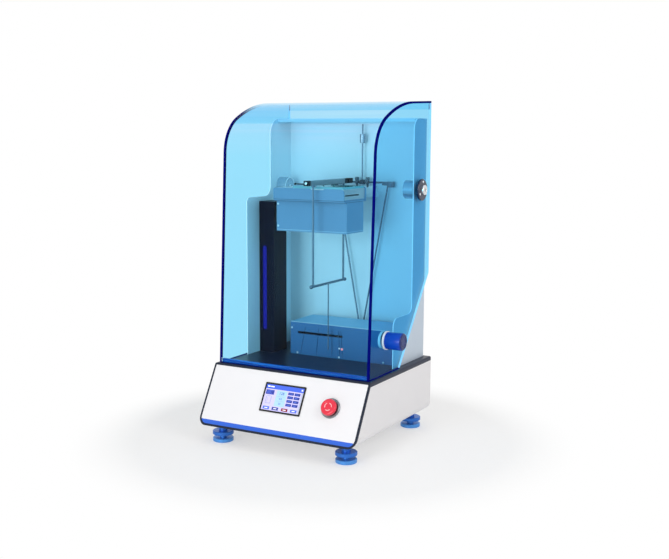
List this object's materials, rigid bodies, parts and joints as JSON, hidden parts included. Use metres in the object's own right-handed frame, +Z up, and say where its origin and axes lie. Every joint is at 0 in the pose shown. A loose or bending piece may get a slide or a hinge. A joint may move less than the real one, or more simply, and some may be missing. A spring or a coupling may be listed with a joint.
{
  "type": "pendulum hardness tester",
  "caption": "Bench instrument with a clear blue lifting hood over a rocking frame pendulum, specimen table, slotted scale plate, stored light pendulum, sloping touch panel and levelling feet.",
  "frame": {"origin": "bottom centre of the whole object's bounding box, on the bench", "axes": "+Z up, +X to the operator's right, +Y to the back; the sloping panel faces -Y"},
  "size_m": [0.4604, 0.404, 0.805],
  "materials": {
    "cabinet_white": "satin",
    "panel_white": "satin",
    "deck_black": "gloss",
    "trim_black": "gloss",
    "screen_black": "gloss",
    "inlet_black": "matt",
    "board_green": "matt",
    "supply_silver": "satin",
    "collar_grey": "satin",
    "plunger_black": "matt",
    "stop_red": "gloss",
    "bush_steel": "satin",
    "tower_white": "satin",
    "boss_white": "satin",
    "pin_chrome": "polished",
    "column_black": "gloss",
    "strip_blue": "gloss",
    "bracket_steel": "satin",
    "table_grey": "satin",
    "platform_aluminium": "satin",
    "glass_green": "polished",
    "scale_grey": "satin",
    "sensor_clear": "gloss",
    "scale_cover_grey": "satin",
    "guide_steel": "satin",
    "carriage_plastic": "matt",
    "release_pin_steel": "satin",
    "screw_steel": "satin",
    "bar_aluminium": "satin",
    "ball_steel": "polished",
    "block_black": "satin",
    "rod_steel": "satin",
    "light_steel": "satin",
    "weight_brass": "satin",
    "hanger_white": "satin",
    "hood_blue": "polished",
    "disc_black": "satin",
    "knob_blue": "gloss",
    "ring_white": "gloss",
    "foot_blue": "satin",
    "wheel_navy": "satin"
  },
  "bodies": {
    "cabinet": {"base_shell": "cabinet_white", "front_panel": "panel_white", "rear_panel": "cabinet_white", "deck_plate": "deck_black", "front_bezel": "trim_black", "touch_screen": "screen_black", "mains_inlet": "inlet_black", "control_board": "board_green", "power_supply": "supply_silver", "stop_collar": "collar_grey", "foot_bushes": "bush_steel", "tower_left_cheek": "tower_white", "tower_right_cheek": "tower_white", "tower_back": "tower_white", "hinge_bosses": "boss_white", "hinge_pins": "pin_chrome", "column_cover": "column_black", "column_light_strip": "strip_blue", "table_bracket": "bracket_steel", "table_box": "table_grey", "table_tray": "table_grey", "table_platform": "platform_aluminium", "glass_plate": "glass_green", "scale_face": "scale_grey", "angle_sensor": "sensor_clear", "scale_cover": "scale_cover_grey", "release_guide": "guide_steel", "cover_screws": "screw_steel", "storage_hanger": "hanger_white"},
    "hood": {"hood_front_sheet": "hood_blue", "hood_left_side": "hood_blue", "hood_right_side": "hood_blue", "hood_rear_rail": "hood_blue", "hood_bottom_rail": "hood_blue", "hinge_discs": "disc_black", "hinge_disc_screws": "screw_steel", "lift_knob": "knob_blue", "knob_rings": "ring_white"},
    "heavy_pendulum": {"heavy_bar": "bar_aluminium", "heavy_balls": "ball_steel", "heavy_end_blocks": "block_black", "heavy_frame": "rod_steel", "heavy_pointer": "rod_steel"},
    "light_pendulum": {"light_crossbar": "light_steel", "light_frame": "light_steel", "light_ball_pins": "light_steel", "light_counter_rod": "light_steel"},
    "light_counterweight": {"light_counterweight": "weight_brass"},
    "release_carriage": {"release_carriage": "carriage_plastic"},
    "release_pin": {"release_pin": "release_pin_steel"},
    "stop_plunger": {"stop_plunger": "plunger_black"},
    "stop_head": {"stop_head": "stop_red"},
    "foot_pad_1": {"foot_pad_1": "foot_blue"},
    "foot_pad_2": {"foot_pad_2": "foot_blue"},
    "foot_pad_3": {"foot_pad_3": "foot_blue"},
    "foot_pad_4": {"foot_pad_4": "foot_blue"},
    "foot_wheel_1": {"foot_wheel_1": "wheel_navy"},
    "foot_wheel_2": {"foot_wheel_2": "wheel_navy"},
    "foot_wheel_3": {"foot_wheel_3": "wheel_navy"},
    "foot_wheel_4": {"foot_wheel_4": "wheel_navy"}
  },
  "joints": [
    {"name": "hood_hinge", "type": "hinge", "parent": "cabinet", "child": "hood", "pos_m": [-0.0168, 0.143, 0.594], "axis": [-1, 0, 0], "range_deg": [0, 80]},
    {"name": "heavy_swing", "type": "hinge", "parent": "cabinet", "child": "heavy_pendulum", "pos_m": [-0.0078, 0.036, 0.6055], "axis": [0, 1, 0], "range_deg": [-12, 12]},
    {"name": "light_lift", "type": "slide", "parent": "cabinet", "child": "light_pendulum", "axis": [0, 0, 1], "range_m": [0, 0.008]},
    {"name": "counterweight_slide", "type": "slide", "parent": "light_pendulum", "child": "light_counterweight", "axis": [0, 0, 1], "range_m": [-0.08, 0.022]},
    {"name": "carriage_slide", "type": "slide", "parent": "cabinet", "child": "release_carriage", "axis": [1, 0, 0], "range_m": [-0.0918, 0]},
    {"name": "pin_slide", "type": "slide", "parent": "release_carriage", "child": "release_pin", "axis": [0, -1, 0], "range_m": [0, 0.023]},
    {"name": "stop_push", "type": "slide", "parent": "cabinet", "child": "stop_plunger", "axis": [0, 0.8742, -0.4856], "range_m": [0, 0.0036], "stiffness_N_per_m": 2500, "springref_m": -0.002},
    {"name": "stop_twist", "type": "hinge", "parent": "stop_plunger", "child": "stop_head", "pos_m": [0.1112, -0.16799, 0.12169], "axis": [0, 0.8742, -0.4856], "range_deg": [0, 45], "stiffness_Nm_per_rad": 0.05},
    {"name": "foot_1_height", "type": "slide", "parent": "cabinet", "child": "foot_pad_1", "axis": [0, 0, -1], "range_m": [0, 0.008]},
    {"name": "foot_1_turn", "type": "hinge", "parent": "foot_pad_1", "child": "foot_wheel_1", "pos_m": [-0.1838, -0.159, 0.0165], "axis": [0, 0, -1], "range_deg": [0, 1920]},
    {"name": "foot_2_height", "type": "slide", "parent": "cabinet", "child": "foot_pad_2", "axis": [0, 0, -1], "range_m": [0, 0.008]},
    {"name": "foot_2_turn", "type": "hinge", "parent": "foot_pad_2", "child": "foot_wheel_2", "pos_m": [0.1502, -0.159, 0.0165], "axis": [0, 0, -1], "range_deg": [0, 1920]},
    {"name": "foot_3_height", "type": "slide", "parent": "cabinet", "child": "foot_pad_3", "axis": [0, 0, -1], "range_m": [0, 0.008]},
    {"name": "foot_3_turn", "type": "hinge", "parent": "foot_pad_3", "child": "foot_wheel_3", "pos_m": [-0.1838, 0.177, 0.0165], "axis": [0, 0, -1], "range_deg": [0, 1920]},
    {"name": "foot_4_height", "type": "slide", "parent": "cabinet", "child": "foot_pad_4", "axis": [0, 0, -1], "range_m": [0, 0.008]},
    {"name": "foot_4_turn", "type": "hinge", "parent": "foot_pad_4", "child": "foot_wheel_4", "pos_m": [0.1502, 0.177, 0.0165], "axis": [0, 0, -1], "range_deg": [0, 1920]}
  ],
  "couplings": [
    {"joint": "foot_1_height", "follows": "foot_1_turn", "m_per_rad": 0.00023873},
    {"joint": "foot_2_height", "follows": "foot_2_turn", "m_per_rad": 0.00023873},
    {"joint": "foot_3_height", "follows": "foot_3_turn", "m_per_rad": 0.00023873},
    {"joint": "foot_4_height", "follows": "foot_4_turn", "m_per_rad": 0.00023873}
  ]
}
